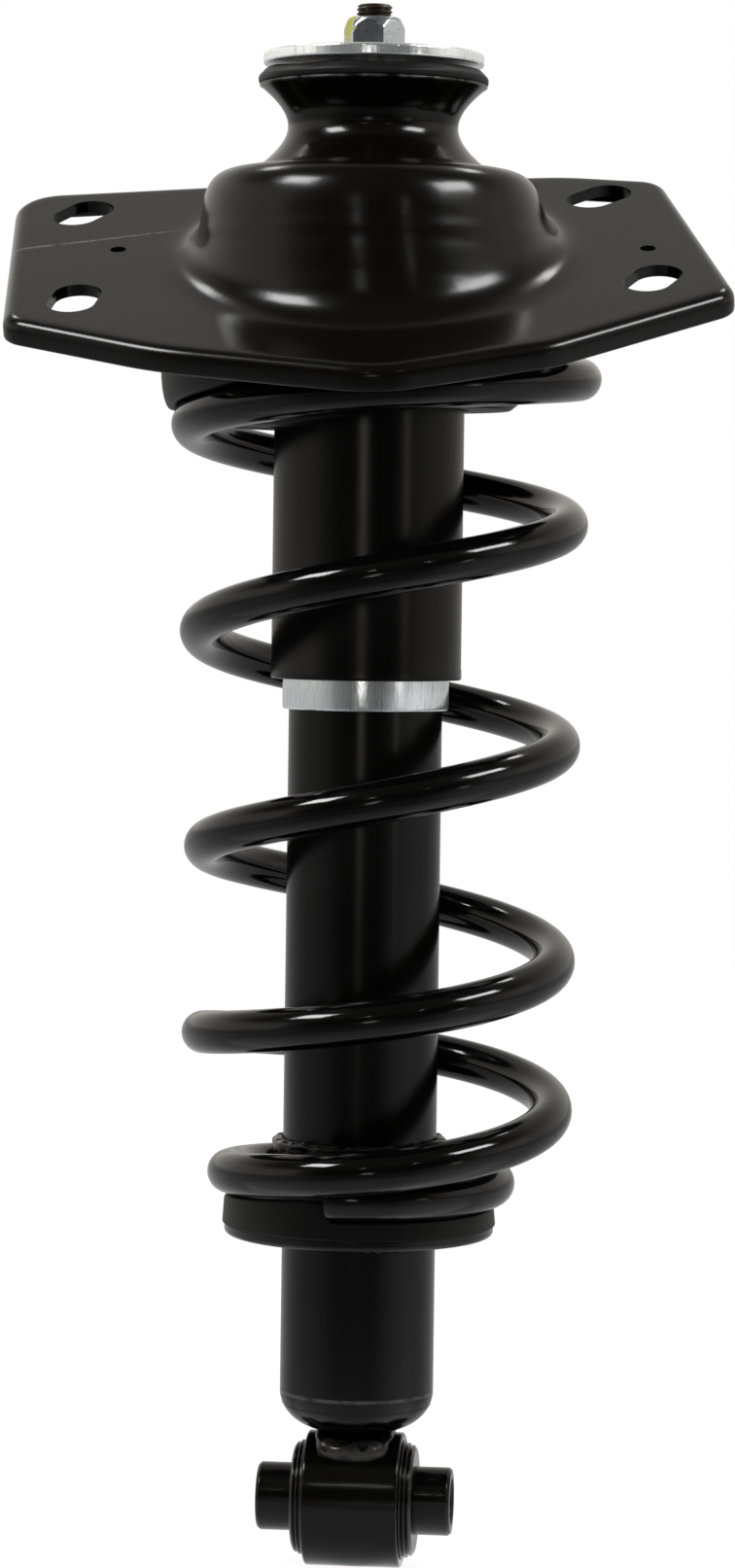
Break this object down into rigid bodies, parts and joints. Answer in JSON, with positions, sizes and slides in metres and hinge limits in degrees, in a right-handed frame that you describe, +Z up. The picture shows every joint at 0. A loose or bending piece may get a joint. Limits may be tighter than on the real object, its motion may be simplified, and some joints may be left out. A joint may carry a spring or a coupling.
{
  "type": "strut assembly",
  "caption": "Coil spring and telescopic damper for a vehicle's suspension, with a sloping slotted mount plate on top and a rubber-bushed eye at the foot",
  "frame": {"origin": "centre of the bolt hole through the eye's inner sleeve at the foot", "axes": "+X along the eye's bolt hole, towards the side where the mount plate has its narrow corner; +Z up the strut along the piston rod; +Y towards the high edge of the sloping mount plate"},
  "size_m": [0.2463, 0.1682, 0.5166],
  "materials": {
    "satin_black": "satin",
    "gloss_black": "semi-gloss",
    "spring_black": "gloss",
    "shield_black": "satin",
    "rubber": "matte",
    "foam": "matte",
    "zinc": "bright zinc plated",
    "plain_steel": "satin",
    "sintered": "matte",
    "bronze": "satin",
    "bearing_plastic": "matte"
  },
  "bodies": {
    "mount": {"mount_plate": "satin_black", "mount_tower": "satin_black", "rod_bushing": "rubber", "upper_spring_seat": "satin_black", "upper_isolator": "rubber", "bump_stop_cup": "plain_steel", "bump_stop": "foam", "dust_shield": "shield_black", "coil_spring": "spring_black"},
    "rod": {"piston_rod": "plain_steel", "lock_nut": "zinc", "top_washer": "zinc", "bushing_core": "plain_steel", "lower_washer": "plain_steel", "rebound_stop": "rubber", "rebound_collar": "plain_steel", "piston": "sintered", "piston_band": "bearing_plastic", "compression_discs": "plain_steel", "rebound_discs": "plain_steel", "piston_nut": "plain_steel"},
    "damper": {"reservoir_tube": "gloss_black", "base_cap": "gloss_black", "pressure_tube": "plain_steel", "base_valve": "sintered", "base_valve_discs": "plain_steel", "base_valve_pin": "plain_steel", "rod_guide": "sintered", "guide_bushing": "bronze", "rod_seal": "rubber", "striker_cap": "zinc", "lower_spring_seat": "satin_black", "seat_weld": "gloss_black", "lower_isolator": "rubber", "eye_ring": "gloss_black", "eye_weld": "gloss_black", "bushing_shell": "plain_steel", "eye_bushing": "rubber"},
    "sleeve": {"inner_sleeve": "gloss_black"}
  },
  "joints": [
    {"name": "rod_swivel", "type": "hinge", "parent": "mount", "child": "rod", "pos_m": [0, 0, 0.45], "axis": [0, 0, 1], "range_deg": [-12, 12], "stiffness_Nm_per_rad": 15},
    {"name": "damper_stroke", "type": "slide", "parent": "rod", "child": "damper", "axis": [0, 0, 1], "range_m": [0, 0.1], "stiffness_N_per_m": 36000, "springref_m": -0.05, "deforming": ["coil_spring", "bump_stop"]},
    {"name": "sleeve_twist", "type": "hinge", "parent": "damper", "child": "sleeve", "pos_m": [0, 0, 0], "axis": [1, 0, 0], "range_deg": [-12, 12], "stiffness_Nm_per_rad": 60}
  ]
}
